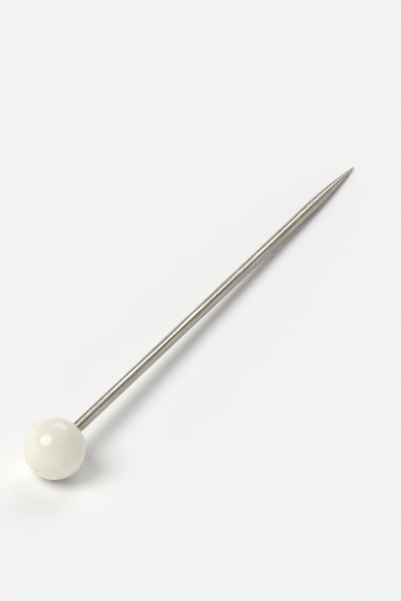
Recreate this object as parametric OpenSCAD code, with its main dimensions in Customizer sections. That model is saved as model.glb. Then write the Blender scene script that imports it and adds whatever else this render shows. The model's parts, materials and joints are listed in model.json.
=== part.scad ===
// Glass-headed straight pin: a ball of opaque glass melted onto a sharpened steel wire.
// It lies on a flat surface as it comes to rest, on the ball and on the curve of its point.
// The ball is towards -X and the point towards +X. The origin is under the middle of the pin.

/* [Pin] */
// Overall length of the pin, from the crown of the ball to the tip of the point
pin_length = 32; // [24:0.5:50]

/* [Wire] */
// Diameter of the steel wire
wire_d = 0.6; // [0.5:0.01:0.8]
// How much thinner the wire is at its cropped end, all round, where the flame scales it
seat_taper = 0.01; // [0.005:0.005:0.03]
// Bevel round the cropped end, which lies inside the glass
crop_bevel = 0.05; // [0.02:0.01:0.1]

/* [Point] */
// Length of the ground point, from the full wire to the tip
point_length = 5; // [3.5:0.1:7]
// Radius of the very tip, which the polishing leaves a little blunt
tip_r = 0.025; // [0.015:0.005:0.05]

/* [Head] */
// Diameter of the glass ball
head_d = 3.2; // [2.6:0.1:4.5]
// Thickness of the glass between the crown of the ball and the end of the wire
crown_wall = 1.1; // [0.7:0.05:1.3]
// Radius of the hollow collar by which the ball runs out onto the wire
collar_r = 0.3; // [0.15:0.05:0.6]
// Thickness of the glass at the edge of the collar
collar_edge = 0.03; // [0.02:0.005:0.06]

/* [Hidden] */

// Sides of a full circle, and of the far larger circle whose arc is the flank of the point
$fn = 72;
flank_fn = 1080;

steel_colour = [0.68, 0.66, 0.62];
glass_colour = [0.92, 0.91, 0.87];

// Places along the pin's own axis are counted from the centre of the ball towards the point
head_r = head_d / 2;
wire_r = wire_d / 2;
crop_r = wire_r - seat_taper;
crop_at = crown_wall - head_r;
tip_at = pin_length - head_r;
point_at = tip_at - point_length;

// Collar: a circle that touches the ball from outside and comes down to the edge of the glass
collar_off = wire_r + collar_edge + collar_r;
collar_at = sqrt(pow(head_r + collar_r, 2) - pow(collar_off, 2));

// Point: the flank is an arc that leaves the wire smoothly and runs smoothly into the ball of the tip
tip_ball_at = tip_at - tip_r;
flank_run = tip_ball_at - point_at;
flank_r = (pow(flank_run, 2) + pow(wire_r, 2) - pow(tip_r, 2)) / (2 * (wire_r - tip_r));
flank_off = wire_r - flank_r;
flank_end_at = tip_ball_at + tip_r * flank_run / (flank_r - tip_r);

// Rest: the surface is the common tangent of the ball and of the flank, or of the ball and the tip
// where the pin lies too steeply for the flank to reach it
flank_reach = sqrt(pow(point_at, 2) + pow(flank_off, 2));
flank_tilt = asin((head_r - flank_r) / flank_reach) - atan2(flank_off, point_at);
tip_tilt = asin((head_r - tip_r) / tip_ball_at);
rest_tilt = flank_r * sin(flank_tilt) < flank_run ? flank_tilt : tip_tilt;

// The pin's length along X runs from the back of the ball to the front of the tip
front_x = tip_ball_at * cos(rest_tilt) + tip_r;
middle_x = (front_x - head_r) / 2;

// Turns a profile about the pin's axis and lays the result down. In a profile, X is the distance
// from the axis and Y the place along it.
module laid_revolve() {
    translate([-middle_x, 0, head_r])
        rotate([0, 90 + rest_tilt, 0])
            rotate_extrude()
                children();
}

// Half of a disc on the axis
module half_disc(r) {
    intersection() {
        circle(r);
        translate([0, -r]) square([r, 2 * r]);
    }
}

// Profile of the wire inside the glass, from the cropped end to the edge of the collar.
// The wire and its bore in the glass are both made from it.
module seated_profile() {
    polygon([
        [0, crop_at],
        [crop_r - crop_bevel, crop_at],
        [crop_r, crop_at + crop_bevel],
        [wire_r, collar_at],
        [0, collar_at]
    ]);
}

// Profile of the ground point, with its flank and its tip
module point_profile() {
    intersection() {
        translate([flank_off, point_at]) circle(flank_r, $fn = flank_fn);
        translate([0, point_at]) square([wire_r, flank_end_at - point_at]);
    }
    translate([0, tip_ball_at]) half_disc(tip_r);
}

// Steel wire: the seated end, the straight shank and the ground point
module shaft() {
    color(steel_colour)
        laid_revolve() {
            seated_profile();
            translate([0, collar_at]) square([wire_r, point_at - collar_at]);
            point_profile();
        }
}

// Glass ball with its collar, closed round the wire
module glass_head() {
    color(glass_colour)
        laid_revolve()
            difference() {
                union() {
                    half_disc(head_r);
                    difference() {
                        polygon([[0, 0], [collar_off, collar_at], [0, collar_at]]);
                        translate([collar_off, collar_at]) circle(collar_r);
                    }
                }
                seated_profile();
            }
}

shaft();
glass_head();
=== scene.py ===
# %% [markdown]
# # A glass-headed straight pin
#
# The pin is a short piece of plated steel wire with a ground point and a ball of opaque ivory glass
# melted onto its blunt end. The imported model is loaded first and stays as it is: it says where the
# pin lies and how large it is. Both of its pieces are then made again with finer rings and with the
# small unevenness of the real ones, and get the finish that wire and melted glass have close up.

# %% Load the fixed frame
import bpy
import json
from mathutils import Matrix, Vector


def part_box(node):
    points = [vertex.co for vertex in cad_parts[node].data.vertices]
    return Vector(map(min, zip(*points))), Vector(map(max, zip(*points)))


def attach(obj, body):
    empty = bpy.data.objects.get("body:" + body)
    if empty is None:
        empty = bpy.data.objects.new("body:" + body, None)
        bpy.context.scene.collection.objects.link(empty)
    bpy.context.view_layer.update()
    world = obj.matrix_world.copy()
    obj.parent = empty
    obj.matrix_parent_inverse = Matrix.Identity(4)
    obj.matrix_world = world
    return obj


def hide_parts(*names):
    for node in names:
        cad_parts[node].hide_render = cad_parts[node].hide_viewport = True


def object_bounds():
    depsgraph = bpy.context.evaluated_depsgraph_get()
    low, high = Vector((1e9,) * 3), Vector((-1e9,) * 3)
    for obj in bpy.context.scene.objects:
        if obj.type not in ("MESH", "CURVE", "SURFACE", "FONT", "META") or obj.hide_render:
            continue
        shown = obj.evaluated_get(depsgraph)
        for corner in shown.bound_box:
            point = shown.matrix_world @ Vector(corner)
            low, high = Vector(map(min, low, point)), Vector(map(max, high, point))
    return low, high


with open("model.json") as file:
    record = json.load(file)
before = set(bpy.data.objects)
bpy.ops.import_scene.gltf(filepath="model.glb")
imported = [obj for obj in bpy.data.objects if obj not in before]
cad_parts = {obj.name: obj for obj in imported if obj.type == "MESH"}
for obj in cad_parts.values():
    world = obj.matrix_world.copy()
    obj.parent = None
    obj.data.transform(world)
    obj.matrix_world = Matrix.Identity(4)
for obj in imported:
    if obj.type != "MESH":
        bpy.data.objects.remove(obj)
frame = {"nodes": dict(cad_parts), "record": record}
print("nodes of the model:", sorted(frame["nodes"]))

# %% Keep the model's own box
import json
import math

import bpy
from mathutils import Matrix, Vector

cad_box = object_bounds()
print("model box, m:", [list(corner) for corner in cad_box])

# %% [markdown]
# ## Reading the pin's sizes
#
# The whole pin is turned about one line, the middle of the wire. It is easiest to think of it
# standing upright on that line, with the centre of the ball at zero and the point upwards, and in
# millimetres. All its sizes could be typed in again here, but then they could drift away from the
# model. So a mount gives the line and the straight stretch of the wire, and the boxes of the two
# pieces give the ends. Only the smallest sizes, which no box shows, are written here again. The
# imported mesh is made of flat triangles, so its boxes are a few thousandths of a millimetre small,
# and the ball's exact radius comes from the collar that touches it.

# %% The line of the wire and its straight stretch
MM = 0.001

shank = next(mount for mount in frame["record"]["mounts"] if mount["name"] == "shank")
pin_line = Vector(shank["axis"]).normalized()
shank_middle = Vector(shank["pos_m"])
wire_r = shank["dims"]["r_mm"]
shank_length = shank["dims"]["length_mm"]
print(f"wire {2 * wire_r} mm thick, straight for {shank_length} mm")

# %% The ball and the heights at which the shape changes
TIP_R = 0.025
COLLAR_R = 0.3
COLLAR_EDGE = 0.03
SEAT_TAPER = 0.01
CROP_BEVEL = 0.05

head_low, head_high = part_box("glass_head")
shaft_low, shaft_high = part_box("shaft")
head_reach = (head_high.z - head_low.z) / 2
crop_r = wire_r - SEAT_TAPER

to_ball = (head_low.x + head_reach - shank_middle.x) / pin_line.x
ball_centre = shank_middle + to_ball * pin_line
collar_at = -to_ball / MM - shank_length / 2
collar_off = wire_r + COLLAR_EDGE + COLLAR_R
ball_r = math.hypot(collar_at, collar_off) - COLLAR_R
point_at = collar_at + shank_length
tip_ball_at = ((shaft_high.x - ball_centre.x) / MM - TIP_R) / pin_line.x
crop_at = ((shaft_low.x - ball_centre.x) / MM - (crop_r - CROP_BEVEL) * pin_line.z) / pin_line.x

print(f"ball radius {ball_r:.3f}, cropped end of the wire at {crop_at:.3f}")
print(f"collar to {collar_at:.3f}, point from {point_at:.3f} to {tip_ball_at + TIP_R:.3f}")

# %% [markdown]
# ## The wire
#
# The real shaft is drawn wire, cropped to length, ground to a point between turning wheels and
# tumbled bright. The grinding gives a point whose flank is an arc that leaves the wire without an
# edge, and the tumbling leaves the tip a little blunt. A cone would be quicker, but its straight
# flank and hard shoulder are just what a real point doesn't have. So the rings of the point follow
# the arc by formula, and they end in a last small ball.

# %% Rings of the ground point
FLANK_RINGS = 40

flank_run = tip_ball_at - point_at
flank_r = (flank_run**2 + wire_r**2 - TIP_R**2) / (2 * (wire_r - TIP_R))
flank_end = flank_run + TIP_R * flank_run / (flank_r - TIP_R)

flank_stations = []
for ring in range(1, FLANK_RINGS + 1):
    along = flank_end * ring / FLANK_RINGS
    flank_stations.append(
        (point_at + along, wire_r - flank_r + math.sqrt(flank_r**2 - along**2))
    )
print(f"the flank is an arc of {flank_r:.1f} mm, in {len(flank_stations)} rings")

# %% Rings of the very tip
TIP_RINGS = 8
# The last ring stays half a step off the line of the wire, and is merged into one point later
LAST_STEP = 0.5

tip_start = math.asin((point_at + flank_end - tip_ball_at) / TIP_R)
tip_step = (math.pi / 2 - tip_start) / (TIP_RINGS + LAST_STEP)
tip_stations = []
for ring in range(1, TIP_RINGS + 1):
    angle = tip_start + tip_step * ring
    tip_stations.append(
        (tip_ball_at + TIP_R * math.sin(angle), TIP_R * math.cos(angle))
    )
print(f"the tip is {2 * TIP_R} mm across, in {len(tip_stations)} rings")

# %% [markdown]
# ### Pulling a shape out ring by ring
#
# A piece that is round all the way could be spun from a drawn profile. Here it is pulled out of a
# primitive instead, as by hand: select an end, extrude it along the line, and scale the new ring to
# the radius it should have there. A row of stations says how far and how wide, so every stretch can
# be seen and changed by itself. The tip has a radius of only a fortieth of a millimetre, and some
# mesh tools merge or skip anything that small. So one Blender unit stands for a millimetre while
# the piece is made.

# %% A cylinder for the straight stretch
WIRE_SIDES = 64


def deselect_everything():
    if bpy.context.object and bpy.context.object.mode != "OBJECT":
        bpy.ops.object.mode_set(mode="OBJECT")
    bpy.ops.object.select_all(action="DESELECT")


deselect_everything()
bpy.ops.mesh.primitive_cylinder_add(
    vertices=WIRE_SIDES,
    radius=wire_r,
    depth=shank_length,
    location=(0, 0, (collar_at + point_at) / 2),
    end_fill_type="NGON",
)
wire = bpy.context.object
wire.name = "plated_wire"
bpy.ops.object.transform_apply(location=True, rotation=True, scale=True)
print("straight wire:", len(wire.data.vertices), "vertices,", len(wire.data.polygons), "faces")

# %% Pull the point out of its upper end
END_FACING = 0.9


def select_faces(piece, test):
    """Selects the faces for which the test holds, and leaves the piece in edit mode."""
    bpy.ops.object.mode_set(mode="EDIT")
    bpy.ops.mesh.select_mode(type="FACE")
    bpy.ops.mesh.select_all(action="DESELECT")
    bpy.ops.object.mode_set(mode="OBJECT")
    for face in piece.data.polygons:
        face.select = test(face)
    bpy.ops.object.mode_set(mode="EDIT")


def pull_through(stations, start):
    """Extrudes the selection through stations of (height, radius), from the one it starts at."""
    height, radius = start
    for next_height, next_radius in stations:
        bpy.ops.mesh.extrude_region_move(
            TRANSFORM_OT_translate={"value": (0, 0, next_height - height)}
        )
        share = next_radius / radius
        bpy.ops.transform.resize(
            value=(share, share, 1), center_override=(0, 0, next_height)
        )
        height, radius = next_height, next_radius


select_faces(wire, lambda face: face.normal.z > END_FACING)
pull_through(flank_stations + tip_stations, (point_at, wire_r))
bpy.ops.mesh.merge(type="CENTER")
bpy.ops.object.mode_set(mode="OBJECT")
print(f"tip at {max(vertex.co.z for vertex in wire.data.vertices):.4f}")

# %% [markdown]
# The other end sits inside the glass. The flame scales it a little thinner there, and cropping
# leaves a narrow bevel. A flat end at the collar would do for a picture, because nobody sees it.
# But it is made as it is: one pull gives the taper, and the bevel tool breaks the edge.

# %% Taper and bevel the cropped end
EDGE_ANGLE = math.radians(25)

select_faces(wire, lambda face: face.normal.z < -END_FACING)
pull_through([(crop_at, crop_r)], (collar_at, wire_r))
bpy.ops.mesh.bevel(offset=CROP_BEVEL, segments=1)
bpy.ops.object.mode_set(mode="OBJECT")
bpy.ops.object.shade_smooth_by_angle(angle=EDGE_ANGLE)
print("wire:", len(wire.data.vertices), "vertices,", len(wire.data.polygons), "faces")

# %% [markdown]
# ### Laying a piece down
#
# The real pin rests on its ball and on the curve of its point, so it slopes a little. Moving and
# turning the object would do, but everything that reads the piece later would have to know. So the
# upright piece is turned, moved and shrunk in one step, and the step is applied: the shape is in
# its real place, and the object itself sits at the origin, unturned and unscaled.

# %% From the upright millimetres to the pin's real place
upright_to_laid = (
    Matrix.Translation(ball_centre)
    @ Vector((0, 0, 1)).rotation_difference(pin_line).to_matrix().to_4x4()
    @ Matrix.Scale(MM, 4)
)


def lay_down(piece):
    """Shrinks the upright piece to its real size and lays it where the frame has it."""
    deselect_everything()
    piece.select_set(True)
    bpy.context.view_layer.objects.active = piece
    piece.matrix_world = upright_to_laid
    bpy.ops.object.transform_apply(location=True, rotation=True, scale=True)


lay_down(wire)
print(f"the wire slopes down by {math.degrees(math.asin(-pin_line.z)):.2f} degrees")

# %% [markdown]
# ## The glass ball
#
# A rod of glass is touched to the hot end of the spinning wire. The melt gathers into a ball, and
# where it wets the wire it runs out in a small concave collar. A whole sphere pushed over the wire
# would look much the same from far off, but it has no collar and no bore. So the sphere is cut open
# just where the collar begins. The open rim is then pulled along the collar's arc, turned in to the
# wire and pulled back down along it, which closes the ball round a blind bore of the wire's shape.

# %% Rings of the collar and of the bore
COLLAR_RINGS = 12

rim_share = ball_r / (ball_r + COLLAR_R)
rim_at = collar_at * rim_share
rim_r = collar_off * rim_share

collar_turn = math.atan2(rim_at - collar_at, collar_off - rim_r)
collar_stations = []
for ring in range(1, COLLAR_RINGS + 1):
    angle = collar_turn * (1 - ring / COLLAR_RINGS)
    collar_stations.append(
        (collar_at + COLLAR_R * math.sin(angle), collar_off - COLLAR_R * math.cos(angle))
    )
bore_stations = [
    (collar_at, wire_r),
    (crop_at + CROP_BEVEL, crop_r),
    (crop_at, crop_r - CROP_BEVEL),
]
print(f"the ball is cut open at {rim_at:.3f}, where it is {2 * rim_r:.3f} across")

# %% Cut the sphere open and pull its rim along the collar and into the bore
BALL_SIDES = 128
BALL_RINGS = 96

deselect_everything()
bpy.ops.mesh.primitive_uv_sphere_add(segments=BALL_SIDES, ring_count=BALL_RINGS, radius=ball_r)
ball = bpy.context.object
ball.name = "opal_glass_ball"
bpy.ops.object.mode_set(mode="EDIT")
bpy.ops.mesh.select_mode(type="EDGE")
bpy.ops.mesh.select_all(action="SELECT")
bpy.ops.mesh.bisect(plane_co=(0, 0, rim_at), plane_no=(0, 0, 1), clear_outer=True)
pull_through(collar_stations + bore_stations, (rim_at, rim_r))
bpy.ops.mesh.edge_face_add()
bpy.ops.mesh.select_all(action="SELECT")
bpy.ops.mesh.normals_make_consistent(inside=False)
bpy.ops.object.mode_set(mode="OBJECT")
print("ball:", len(ball.data.vertices), "vertices,", len(ball.data.polygons), "faces")

# %% [markdown]
# ### The unevenness of a melted ball
#
# The head is a drop that froze while it turned, so it is never quite round. Its surface lies a few
# hundredths of a millimetre lower in some places, and the edge of the collar wanders a little along
# the wire. A bump in the material would shade this but leave the outline a perfect circle, so two
# Displace modifiers move the mesh itself, with cloud patterns of one soft layer, because finer
# layers would give it dents. Both only take away, so the ball never grows past the model's box.
# Weights keep them off the bore, and off the spot on which the ball rests, so it doesn't hover.

# %% Weights for the outside of the ball and for its collar
RIM_FADE_MM = 0.8
REST_FADE_MM = 2.4
OUTSIDE_SHARE = 0.9

resting_spot = ball_r * (upright_to_laid.to_quaternion().inverted() @ Vector((0, 0, -1)))
outside = ball.vertex_groups.new(name="outside")
collar = ball.vertex_groups.new(name="collar")
weighted = 0
for vertex in ball.data.vertices:
    height = vertex.co.z
    if height > rim_at:
        collar.add([vertex.index], (height - rim_at) / (collar_at - rim_at), "REPLACE")
    elif vertex.co.length > OUTSIDE_SHARE * ball_r:
        off_rim = (rim_at - height) / RIM_FADE_MM
        off_rest = (vertex.co - resting_spot).length / REST_FADE_MM
        outside.add([vertex.index], min(1, off_rim, off_rest), "REPLACE")
        weighted += 1
print(weighted, "of", len(ball.data.vertices), "vertices lie on the round outside")

# %% Lower the surface here and there, and let the collar's edge wander
UNEVEN_MM = 0.055
UNEVEN_PATCH_MM = 1.8
WANDER_MM = 0.06
WANDER_PATCH_MM = 0.25
FINER_LAYERS = 0

# A spot moves by the strength times its cloud value, from 0 to 1, less a middle level. A level of 0
# and a negative strength can only lower the surface, and a level of 1 only draws the edge back.
LOWER_FROM = 0.0
DRAW_BACK_FROM = 1.0


def displace(group_name, direction, middle, strength, patch):
    """Moves the vertices of one group by a soft cloud pattern and applies the modifier."""
    pattern = bpy.data.textures.new(group_name + "_clouds", "CLOUDS")
    pattern.noise_scale = patch
    pattern.noise_depth = FINER_LAYERS
    bpy.ops.object.modifier_add(type="DISPLACE")
    modifier = ball.modifiers[-1]
    modifier.texture = pattern
    modifier.vertex_group = group_name
    modifier.direction = direction
    modifier.mid_level = middle
    modifier.strength = strength
    bpy.ops.object.modifier_apply(modifier=modifier.name)


displace("outside", "NORMAL", LOWER_FROM, -UNEVEN_MM, UNEVEN_PATCH_MM)
displace("collar", "Z", DRAW_BACK_FROM, WANDER_MM, WANDER_PATCH_MM)
bpy.ops.object.shade_smooth_by_angle(angle=EDGE_ANGLE)
below_round = [
    ball_r - vertex.co.length
    for vertex in ball.data.vertices
    if vertex.co.z < 0 and vertex.co.length > OUTSIDE_SHARE * ball_r
]
print(f"the outside lies {min(below_round):.3f} to {max(below_round):.3f} mm below the round")
lay_down(ball)

# %% [markdown]
# ## Nickel-plated drawn steel
#
# The wire is hardened steel, pulled through a die, ground at the point and plated with bright
# nickel, which is a warm grey metal that mirrors its surroundings. An even chrome-like shader would
# look like plastic foil here, because what shows a real wire is how its marks fray the reflections.
# So the finish is built up from the marks of its making, and all of them are drawn in the pin's own
# upright millimetres: the Mapping node undoes what laying the pin down did, and the Scale of a
# texture is then simply one divided by the size of its marks.

# %% An empty material, and one function that adds a node
def new_material(name):
    material = bpy.data.materials.new(name)
    material.use_nodes = True
    material.node_tree.nodes.clear()
    return material, material.node_tree


def add(tree, kind, inputs, **settings):
    """Adds a node. Each input is a value, or the socket that feeds it."""
    made = tree.nodes.new(kind)
    for name, value in settings.items():
        setattr(made, name, value)
    for name, value in inputs.items():
        if isinstance(value, bpy.types.NodeSocket):
            tree.links.new(value, made.inputs[name])
        else:
            made.inputs[name].default_value = value
    return made


steel, steel_tree = new_material("nickel_plated_drawn_steel")
print("empty material:", steel.name)

# %% The place on the wire, in upright millimetres
def upright_mm(tree):
    """The place on the piece, counted from the centre of the ball, and its height on the line."""
    laid = add(tree, "ShaderNodeTexCoord", {}).outputs["Object"]
    upright = add(
        tree,
        "ShaderNodeMapping",
        {
            "Vector": laid,
            "Location": ball_centre,
            "Rotation": upright_to_laid.to_quaternion().to_euler(),
            "Scale": (MM, MM, MM),
        },
        vector_type="TEXTURE",
    ).outputs["Vector"]
    height = add(tree, "ShaderNodeSeparateXYZ", {"Vector": upright}).outputs["Z"]
    return upright, height


steel_place, steel_height = upright_mm(steel_tree)
print("nodes that find the place:", len(steel_tree.nodes))

# %% [markdown]
# The die leaves fine lines along the wire, and the grinding wheels leave finer rings round the
# point. Real lines are about 0.02 mm apart and the rings 0.01 mm, too fine to show, so the lines
# are drawn about twice as coarse and the rings three times. A Wave texture would space them evenly,
# as on a screw. Noise that is stretched along the pin gives uneven lines, and noise that is
# squeezed along it gives uneven rings. The Detail of a noise is how many finer layers it gets.

# %% Die lines and grinding rings
DIE_LINE_MM = 0.045
DIE_LINE_STRETCH = 70
DIE_LINE_DETAIL = 3.0
GRINDING_RING_MM = 0.03
GRINDING_RING_STRETCH = 10
GRINDING_RING_DETAIL = 2.0

along_wire = add(
    steel_tree,
    "ShaderNodeMapping",
    {"Vector": steel_place, "Scale": (1, 1, 1 / DIE_LINE_STRETCH)},
).outputs["Vector"]
die_lines = add(
    steel_tree,
    "ShaderNodeTexNoise",
    {"Vector": along_wire, "Scale": 1 / DIE_LINE_MM, "Detail": DIE_LINE_DETAIL},
).outputs["Fac"]
round_wire = add(
    steel_tree,
    "ShaderNodeMapping",
    {"Vector": steel_place, "Scale": (1 / GRINDING_RING_STRETCH, 1 / GRINDING_RING_STRETCH, 1)},
).outputs["Vector"]
rings = add(
    steel_tree,
    "ShaderNodeTexNoise",
    {"Vector": round_wire, "Scale": 1 / GRINDING_RING_MM, "Detail": GRINDING_RING_DETAIL},
).outputs["Fac"]
print("lines", DIE_LINE_MM, "mm and rings", GRINDING_RING_MM, "mm apart")

# %% [markdown]
# The grinding doesn't stop at an even ring: the wheel touches the wire a little sooner on one side
# than on the other. Splitting the mesh into two materials would draw just such an even ring, so a
# cloudy noise shifts the border by up to half a millimetre. The same clouds make the plating
# slightly duller in some patches than in others.

# %% Clouds, and the ragged border of the ground point
CLOUD_MM = 1.2
CLOUD_DETAIL = 4.0
GRIND_EDGE_MM = 0.5

clouds = add(
    steel_tree,
    "ShaderNodeTexNoise",
    {"Vector": steel_place, "Scale": 1 / CLOUD_MM, "Detail": CLOUD_DETAIL},
).outputs["Fac"]
shifted_height = add(
    steel_tree,
    "ShaderNodeMath",
    {0: clouds, 1: GRIND_EDGE_MM, 2: steel_height},
    operation="MULTIPLY_ADD",
).outputs["Value"]
ground = add(
    steel_tree,
    "ShaderNodeMapRange",
    {"Value": shifted_height, "From Min": point_at, "From Max": point_at + GRIND_EDGE_MM},
    interpolation_type="SMOOTHSTEP",
).outputs["Result"]
print(f"the ground finish starts at {point_at:.1f} mm")

# %% Lines on the shank, rings on the point
MARK_FROM = 0.35
MARK_TO = 0.7

# A Mix node has a set of sockets for numbers and one for colours, all called A, B and Result
NUMBER_A, NUMBER_B, NUMBER_RESULT = 2, 3, 0

marks = add(
    steel_tree, "ShaderNodeMix", {0: ground, NUMBER_A: die_lines, NUMBER_B: rings}
).outputs[NUMBER_RESULT]
marked = add(
    steel_tree, "ShaderNodeMapRange", {"Value": marks, "From Min": MARK_FROM, "From Max": MARK_TO}
).outputs["Result"]
print("noise from", MARK_FROM, "to", MARK_TO, "counts as a mark")

# %% [markdown]
# Nickel is a little yellower than steel. One even colour would do if the wire were a clean mirror,
# but in the marks the plating is matt and holds a little grime, so it sends less light back to the
# eye. The colour therefore follows the marks, from a bright tone to a dull one. Colours are picked
# as hex values, which are sRGB, while Blender works with linear light, so one function turns the
# one into the other.

# %% Colour of the plating
PLATE_BRIGHT = "#C2BBB0"
PLATE_DULL = "#9B9388"

COLOUR_A, COLOUR_B, COLOUR_RESULT = 6, 7, 2

# The sRGB curve is a straight line for the darkest tones and a power for all others
SRGB_LINE_END = 0.04045
SRGB_LINE_SLOPE = 12.92
SRGB_OFFSET = 0.055
SRGB_POWER = 2.4
FULL_COVER = 1.0


def linear(hex_colour):
    """The linear light of an sRGB hex colour, with full cover as its fourth number."""
    light = []
    for start in (1, 3, 5):
        channel = int(hex_colour[start : start + 2], 16) / 255
        if channel <= SRGB_LINE_END:
            light.append(channel / SRGB_LINE_SLOPE)
        else:
            light.append(((channel + SRGB_OFFSET) / (1 + SRGB_OFFSET)) ** SRGB_POWER)
    return light + [FULL_COVER]


plate_colour = add(
    steel_tree,
    "ShaderNodeMix",
    {0: marked, COLOUR_A: linear(PLATE_BRIGHT), COLOUR_B: linear(PLATE_DULL)},
    data_type="RGBA",
).outputs[COLOUR_RESULT]
print("bright plating in linear light:", [round(c, 2) for c in linear(PLATE_BRIGHT)[:3]])

# %% [markdown]
# The flame that melts the glass also heats the first millimetre or two of bare wire, and hot nickel
# takes on a faint straw colour. It could be painted onto the vertices, but the height along the pin
# already says where the flame was, so the tint fades with it and needs no paint.

# %% Tint of the flame
FLAME_TINT_MM = 1.6
FLAME_TINT_MOST = 0.4
FLAME_STRAW = "#9C8A68"

tinted = add(
    steel_tree,
    "ShaderNodeMapRange",
    {
        "Value": steel_height,
        "From Min": collar_at,
        "From Max": collar_at + FLAME_TINT_MM,
        "To Min": FLAME_TINT_MOST,
        "To Max": 0.0,
    },
    interpolation_type="SMOOTHSTEP",
).outputs["Result"]
steel_colour = add(
    steel_tree,
    "ShaderNodeMix",
    {0: tinted, COLOUR_A: plate_colour, COLOUR_B: linear(FLAME_STRAW)},
    data_type="RGBA",
).outputs[COLOUR_RESULT]
print("the tint reaches", FLAME_TINT_MM, "mm out of the glass")

# %% [markdown]
# Tumbling and use leave short scratches that run slantwise round the wire. They could be drawn one
# by one as curves, but noise scatters them without a pattern that the eye could pick up. It is
# stretched as for the die lines, but turned off the pin's line, and only its highest crests are
# kept, so the scratches are few and thin. Real ones are a few thousandths of a millimetre wide, and
# are drawn wider to show.

# %% Short scratches
SCRATCH_MM = 0.03
SCRATCH_STRETCH = 25
SCRATCH_SLANT = (0.5, 0.35, 0.0)
SCRATCH_DETAIL = 0.0
SCRATCH_CREST = 0.71
SCRATCH_FULL = 0.79

slanted = add(
    steel_tree, "ShaderNodeMapping", {"Vector": steel_place, "Rotation": SCRATCH_SLANT}
).outputs["Vector"]
along_slant = add(
    steel_tree, "ShaderNodeMapping", {"Vector": slanted, "Scale": (1, 1, 1 / SCRATCH_STRETCH)}
).outputs["Vector"]
crests = add(
    steel_tree,
    "ShaderNodeTexNoise",
    {"Vector": along_slant, "Scale": 1 / SCRATCH_MM, "Detail": SCRATCH_DETAIL},
).outputs["Fac"]
scratches = add(
    steel_tree,
    "ShaderNodeMapRange",
    {"Value": crests, "From Min": SCRATCH_CREST, "From Max": SCRATCH_FULL},
    interpolation_type="SMOOTHSTEP",
).outputs["Result"]
print("scratches", SCRATCH_MM, "mm wide and up to", SCRATCH_MM * SCRATCH_STRETCH, "mm long")

# %% [markdown]
# Bright nickel is nearly a mirror, so its roughness is low. The ground point is duller, because its
# rings scatter the light. The marks also go into a bump of a hundredth of a millimetre at most.
# They are far too fine for real geometry, and so low a bump frays the edges of the long highlight
# without bending it.

# %% Roughness of the wire
PLATE_ROUGH = 0.13
GROUND_ROUGH = 0.22
CLOUD_ROUGH = 0.08
MARK_ROUGH = 0.14

even_rough = add(
    steel_tree, "ShaderNodeMix", {0: ground, NUMBER_A: PLATE_ROUGH, NUMBER_B: GROUND_ROUGH}
).outputs[NUMBER_RESULT]
cloudy_rough = add(
    steel_tree,
    "ShaderNodeMath",
    {0: clouds, 1: CLOUD_ROUGH, 2: even_rough},
    operation="MULTIPLY_ADD",
).outputs["Value"]
steel_rough = add(
    steel_tree,
    "ShaderNodeMath",
    {0: marked, 1: MARK_ROUGH, 2: cloudy_rough},
    operation="MULTIPLY_ADD",
).outputs["Value"]
print("roughness from", PLATE_ROUGH, "to", round(GROUND_ROUGH + CLOUD_ROUGH + MARK_ROUGH, 2))

# %% Bump of the wire
LINE_HEIGHT_MM = 0.01
RING_HEIGHT_MM = 0.004
SCRATCH_DEPTH_MM = 0.001

mark_height = add(
    steel_tree,
    "ShaderNodeMix",
    {0: ground, NUMBER_A: LINE_HEIGHT_MM * MM, NUMBER_B: RING_HEIGHT_MM * MM},
).outputs[NUMBER_RESULT]
mark_bump = add(
    steel_tree, "ShaderNodeBump", {"Height": marks, "Distance": mark_height}
).outputs["Normal"]
steel_bump = add(
    steel_tree,
    "ShaderNodeBump",
    {"Height": scratches, "Distance": SCRATCH_DEPTH_MM * MM, "Normal": mark_bump},
    invert=True,
).outputs["Normal"]
print("lines", LINE_HEIGHT_MM, "mm, rings", RING_HEIGHT_MM, "mm, scratches", SCRATCH_DEPTH_MM, "mm")

# %% Put the finish on the wire
BARE_METAL = 1.0

steel_shader = add(
    steel_tree,
    "ShaderNodeBsdfPrincipled",
    {
        "Base Color": steel_colour,
        "Metallic": BARE_METAL,
        "Roughness": steel_rough,
        "Normal": steel_bump,
    },
).outputs["BSDF"]
add(steel_tree, "ShaderNodeOutputMaterial", {"Surface": steel_shader})
wire.data.materials.append(steel)
print("wire finish:", steel.name, "with", len(steel_tree.nodes), "nodes")

# %% [markdown]
# ## Opaque ivory glass
#
# The ball is soda glass made opaque with a white pigment, and the flame has polished it. The melt
# was wound on while the pin turned, which leaves faint cloudy swirls round it. A see-through glass
# shader would show the wire inside, which real opal glass hides, so the colour is that of an opaque
# body. Noise with some distortion, squeezed along the pin, draws the swirls, and their two colours
# are close together.

# %% Swirls of the glass
SWIRL_MM = 0.9
SWIRL_STRETCH = 2.2
SWIRL_DETAIL = 3.0
SWIRL_DISTORTION = 1.4
SWIRL_FROM = 0.3
SWIRL_TO = 0.7
GLASS_SHADE = "#EBE6D8"
GLASS_LIGHT = "#F2EEE2"

glass, glass_tree = new_material("flame_polished_ivory_glass")
glass_place, glass_height = upright_mm(glass_tree)

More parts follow.
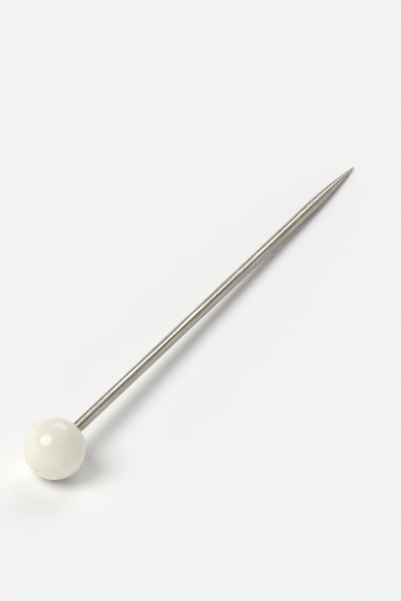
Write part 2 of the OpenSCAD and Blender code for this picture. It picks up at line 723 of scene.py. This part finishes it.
round_ball = add(
    glass_tree,
    "ShaderNodeMapping",
    {"Vector": glass_place, "Scale": (1 / SWIRL_STRETCH, 1 / SWIRL_STRETCH, 1)},
).outputs["Vector"]
swirls = add(
    glass_tree,
    "ShaderNodeTexNoise",
    {
        "Vector": round_ball,
        "Scale": 1 / SWIRL_MM,
        "Detail": SWIRL_DETAIL,
        "Distortion": SWIRL_DISTORTION,
    },
).outputs["Fac"]
swirl_share = add(
    glass_tree,
    "ShaderNodeMapRange",
    {"Value": swirls, "From Min": SWIRL_FROM, "From Max": SWIRL_TO},
    interpolation_type="SMOOTHSTEP",
).outputs["Result"]
swirled_colour = add(
    glass_tree,
    "ShaderNodeMix",
    {0: swirl_share, COLOUR_A: linear(GLASS_SHADE), COLOUR_B: linear(GLASS_LIGHT)},
    data_type="RGBA",
).outputs[COLOUR_RESULT]
print("swirls about", SWIRL_MM, "mm wide, from", GLASS_SHADE, "to", GLASS_LIGHT)

# %% [markdown]
# Here and there a bubble breaks at the surface and leaves a pinhole. The few holes could be cut by
# hand, but at a few hundredths of a millimetre they would need a mesh many times as fine. A Voronoi
# texture scatters points through the ball instead. Only the few cells whose random colour comes out
# high keep their point, and only where the point lies close to the surface does it show, as a small
# dent with painted shade: the colour is darkened there to stand in for the shade inside the pit.

# %% Pinholes
PINHOLE_CELL_MM = 0.65
PINHOLE_R_MM = 0.035
PINHOLE_FLOOR = 0.4
PINHOLE_LOT = 0.8

cells = add(
    glass_tree, "ShaderNodeTexVoronoi", {"Vector": glass_place, "Scale": 1 / PINHOLE_CELL_MM}
)
hole_reach = PINHOLE_R_MM / PINHOLE_CELL_MM
near_point = add(
    glass_tree,
    "ShaderNodeMapRange",
    {
        "Value": cells.outputs["Distance"],
        "From Min": PINHOLE_FLOOR * hole_reach,
        "From Max": hole_reach,
        "To Min": 1.0,
        "To Max": 0.0,
    },
    interpolation_type="SMOOTHSTEP",
).outputs["Result"]
lot = add(glass_tree, "ShaderNodeSeparateColor", {"Color": cells.outputs["Color"]}).outputs["Red"]
drawn = add(
    glass_tree, "ShaderNodeMath", {0: lot, 1: PINHOLE_LOT}, operation="GREATER_THAN"
).outputs["Value"]
pits = add(
    glass_tree, "ShaderNodeMath", {0: near_point, 1: drawn}, operation="MULTIPLY"
).outputs["Value"]
print("pinholes of", 2 * PINHOLE_R_MM, "mm in one cell of", round(1 / (1 - PINHOLE_LOT)))

# %% [markdown]
# Towards the edge of the collar the glass is only a few hundredths of a millimetre thick, and the
# steel under it makes it look grey. Real see-through thickness would cost a slow, noisy render for
# a third of a millimetre of glass. The height along the pin says where that is, so the colour
# simply turns greyer there. The painted shade of the pinholes goes on last, over everything else.

# %% Colour of the glass, thin at the collar, with painted shade in the pits
THIN_GLASS_MOST = 0.45
THIN_GLASS = "#B9B3A6"
# The pit colour and its strength are painted shade, standing in for the shade inside each pinhole
PIT_SHADE_STRENGTH = 0.5
PIT_SHADE_COLOUR = "#A79F8E"

thin = add(
    glass_tree,
    "ShaderNodeMapRange",
    {
        "Value": glass_height,
        "From Min": rim_at,
        "From Max": collar_at,
        "To Min": 0.0,
        "To Max": THIN_GLASS_MOST,
    },
    interpolation_type="SMOOTHSTEP",
).outputs["Result"]
collar_colour = add(
    glass_tree,
    "ShaderNodeMix",
    {0: thin, COLOUR_A: swirled_colour, COLOUR_B: linear(THIN_GLASS)},
    data_type="RGBA",
).outputs[COLOUR_RESULT]
# Painted shade: the pinholes are darkened towards the pit colour
pit_shade_share = add(
    glass_tree, "ShaderNodeMath", {0: pits, 1: PIT_SHADE_STRENGTH}, operation="MULTIPLY"
).outputs["Value"]
glass_colour = add(
    glass_tree,
    "ShaderNodeMix",
    {0: pit_shade_share, COLOUR_A: collar_colour, COLOUR_B: linear(PIT_SHADE_COLOUR)},
    data_type="RGBA",
).outputs[COLOUR_RESULT]
print(f"the glass turns greyer from {rim_at:.2f} to {collar_at:.2f} mm")

# %% [markdown]
# A flame polish is smooth but not even: the skin of the melt ripples a little as it sets. The
# ripples are lower than the unevenness of the mesh and never show in the outline, so they don't
# need real geometry. Soft noise in a bump bends the highlights as on the real glass, and the
# pinholes go in as small dents.

# %% Ripples and pits of the skin
RIPPLE_MM = 0.6
RIPPLE_DETAIL = 1.0
RIPPLE_HEIGHT_MM = 0.02
RIPPLE_STRENGTH = 0.5
PIT_DEPTH_MM = 0.02
PIT_STRENGTH = 0.6

ripples = add(
    glass_tree,
    "ShaderNodeTexNoise",
    {"Vector": glass_place, "Scale": 1 / RIPPLE_MM, "Detail": RIPPLE_DETAIL},
).outputs["Fac"]
ripple_bump = add(
    glass_tree,
    "ShaderNodeBump",
    {"Height": ripples, "Strength": RIPPLE_STRENGTH, "Distance": RIPPLE_HEIGHT_MM * MM},
).outputs["Normal"]
glass_bump = add(
    glass_tree,
    "ShaderNodeBump",
    {
        "Height": pits,
        "Strength": PIT_STRENGTH,
        "Distance": PIT_DEPTH_MM * MM,
        "Normal": ripple_bump,
    },
    invert=True,
).outputs["Normal"]
print("ripples", RIPPLE_MM, "mm apart, pits", PIT_DEPTH_MM, "mm deep")

# %% [markdown]
# Light sinks a few tenths of a millimetre into opaque glass and comes out soft. Without that the
# ball would look like lacquered wood, so the shader has some subsurface scattering, the same for
# all colours. Over it lies a clear, sharp gloss, a touch hazier where the swirls are strong. Its
# index of refraction of 1.5 is that of soda glass.

# %% Put the finish on the ball
GLOSS_ROUGH = 0.06
HAZE_ROUGH = 0.12
HAZE_FROM = 0.2
HAZE_TO = 0.8
GLASS_IOR = 1.5
GLASS_DEPTH_MM = 0.4
GLASS_DEPTH_SHARE = 0.3
GLASS_DEPTH_OF_RED_GREEN_BLUE = (1.0, 1.0, 1.0)

glass_rough = add(
    glass_tree,
    "ShaderNodeMapRange",
    {
        "Value": swirls,
        "From Min": HAZE_FROM,
        "From Max": HAZE_TO,
        "To Min": GLOSS_ROUGH,
        "To Max": HAZE_ROUGH,
    },
).outputs["Result"]
glass_shader = add(
    glass_tree,
    "ShaderNodeBsdfPrincipled",
    {
        "Base Color": glass_colour,
        "Roughness": glass_rough,
        "IOR": GLASS_IOR,
        "Subsurface Weight": GLASS_DEPTH_SHARE,
        "Subsurface Radius": GLASS_DEPTH_OF_RED_GREEN_BLUE,
        "Subsurface Scale": GLASS_DEPTH_MM * MM,
        "Normal": glass_bump,
    },
).outputs["BSDF"]
add(glass_tree, "ShaderNodeOutputMaterial", {"Surface": glass_shader})
ball.data.materials.append(glass)
print("ball finish:", glass.name, "with", len(glass_tree.nodes), "nodes")

# %% [markdown]
# ## Joining the pieces to the frame
#
# The real pin moves as one, so both pieces ride on the model's only body. The plain nodes could
# have kept their shape and only got a new finish, but their flat triangles would show in the
# mirror of the wire. So each new piece stands for one node, which is hidden.

# %% Tell the frame what the pieces are
for piece, node_name, slot in (
    (wire, "shaft", "plated_steel"),
    (ball, "glass_head", "opal_glass"),
):
    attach(piece, "root")
    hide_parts(node_name)
    print(piece.name, "stands for", node_name)

# %% [markdown]
# ## The stage
#
# The pin lies on a sheet of matt white paper that curves up into a low wall all round. A flat floor
# would do from above, but from low down its edge would cut the picture, and polished wire shows
# whatever is round it. The sheet starts as a disc at the top of the wall. Its face is pulled down
# and in along a quarter circle, and where it comes to rest it is the floor. The disc that is left
# at the top would shut out the light, so it is deleted.

# %% Matt white paper
PAPER_WHITE = "#FDFDFC"
PAPER_ROUGH = 0.9
PAPER_GLOSS = 0.1

paper_material, paper_tree = new_material("matt_white_paper")
paper_shader = add(
    paper_tree,
    "ShaderNodeBsdfPrincipled",
    {
        "Base Color": linear(PAPER_WHITE),
        "Roughness": PAPER_ROUGH,
        "Specular IOR Level": PAPER_GLOSS,
    },
).outputs["BSDF"]
add(paper_tree, "ShaderNodeOutputMaterial", {"Surface": paper_shader})
print("paper:", PAPER_WHITE)

# %% Floor and curved wall, in metres
FLOOR_R = 0.75
COVE_R = 0.2
WALL_TOP = 0.375
COVE_RINGS = 12
PAPER_SIDES = 96

deselect_everything()
bpy.ops.mesh.primitive_circle_add(
    vertices=PAPER_SIDES, radius=FLOOR_R + COVE_R, fill_type="NGON", location=(0, 0, WALL_TOP)
)
paper = bpy.context.object
paper.name = "paper_floor"
bpy.ops.object.transform_apply(location=True, rotation=True, scale=True)
cove_stations = []
for ring in range(COVE_RINGS + 1):
    angle = math.pi / 2 * ring / COVE_RINGS
    cove_stations.append((COVE_R * (1 - math.sin(angle)), FLOOR_R + COVE_R * math.cos(angle)))
select_faces(paper, lambda face: True)
pull_through(cove_stations, (WALL_TOP, FLOOR_R + COVE_R))
select_faces(paper, lambda face: face.center.z == WALL_TOP)
bpy.ops.mesh.delete(type="FACE")
bpy.ops.object.mode_set(mode="OBJECT")
bpy.ops.object.shade_smooth_by_angle(angle=EDGE_ANGLE)
paper.data.materials.append(paper_material)
print("paper:", len(paper.data.polygons), "faces")

# %% [markdown]
# ## The camera
#
# The photograph looks down at 37 degrees, from the ball's end and well to one side, so the wire
# runs away to the upper right. A camera could be turned by hand until it looks right. Worked out
# from the two angles it is exact, and it keeps aiming at the middle of the pin. The lens is long
# for so near a camera, because the picture is only about 30 mm wide.

# %% Camera at the photograph's angle
CAMERA_AZIMUTH = -59.4
CAMERA_ELEVATION = 37.0
CAMERA_DISTANCE = 0.39
VIEW_WIDTH = 0.031
SENSOR = 36.0
NEAREST = 0.01
FARTHEST = 10.0

azimuth = math.radians(CAMERA_AZIMUTH)
elevation = math.radians(CAMERA_ELEVATION)
to_camera = Vector(
    (
        math.sin(azimuth) * math.cos(elevation),
        -math.cos(azimuth) * math.cos(elevation),
        math.sin(elevation),
    )
)
aim = (cad_box[0] + cad_box[1]) / 2
deselect_everything()
bpy.ops.object.camera_add(
    location=aim + CAMERA_DISTANCE * to_camera,
    rotation=(-to_camera).to_track_quat("-Z", "Y").to_euler(),
)
camera = bpy.context.object
camera.data.sensor_width = SENSOR
camera.data.lens = SENSOR * CAMERA_DISTANCE / VIEW_WIDTH
camera.data.clip_start = NEAREST
camera.data.clip_end = FARTHEST
scene = bpy.context.scene
scene.camera = camera
print(f"lens {camera.data.lens:.0f} mm, {CAMERA_DISTANCE} m away")

# %% [markdown]
# ## The light
#
# In the photograph the highlight on the ball is soft and lies a little up and to the left, so the
# main lamp is a large round softbox on that side. A small lamp or a sun would give a hard shadow
# and a point of glare. A wire works as a curved mirror and shows a lamp only from one direction, so
# a second, weaker softbox hangs where the wire throws its light into the camera as one long bright
# line. The pale surroundings do the rest. Together they light the paper at a level where its colour
# comes out about as it is written, and the Standard view doesn't change it again.

# %% Softboxes
KEY_PLACE = (-0.84, 0.58, 1.49)
KEY_ACROSS = 1.3
KEY_WATTS = 19.4
FILL_PLACE = (1.35, 0.22, 1.17)
FILL_ACROSS = 1.1
FILL_WATTS = 6.0

for name, place, across, watts in (
    ("key_softbox", KEY_PLACE, KEY_ACROSS, KEY_WATTS),
    ("fill_softbox", FILL_PLACE, FILL_ACROSS, FILL_WATTS),
):
    turn = (aim - Vector(place)).to_track_quat("-Z", "Y").to_euler()
    bpy.ops.object.light_add(type="AREA", location=place, rotation=turn)
    lamp = bpy.context.object
    lamp.name = name
    lamp.data.shape = "DISK"
    lamp.data.size = across
    lamp.data.energy = watts
    print(name, watts, "W")

# %% Surroundings
WORLD_COLOUR = "#FFFFFF"
WORLD_STRENGTH = 0.29

scene.view_settings.view_transform = "Standard"
world = bpy.data.worlds.new("studio")
world.use_nodes = True
surroundings = world.node_tree.nodes["Background"]
surroundings.inputs["Color"].default_value = linear(WORLD_COLOUR)
surroundings.inputs["Strength"].default_value = WORLD_STRENGTH
scene.world = world
print("surroundings at", WORLD_STRENGTH, "of white")
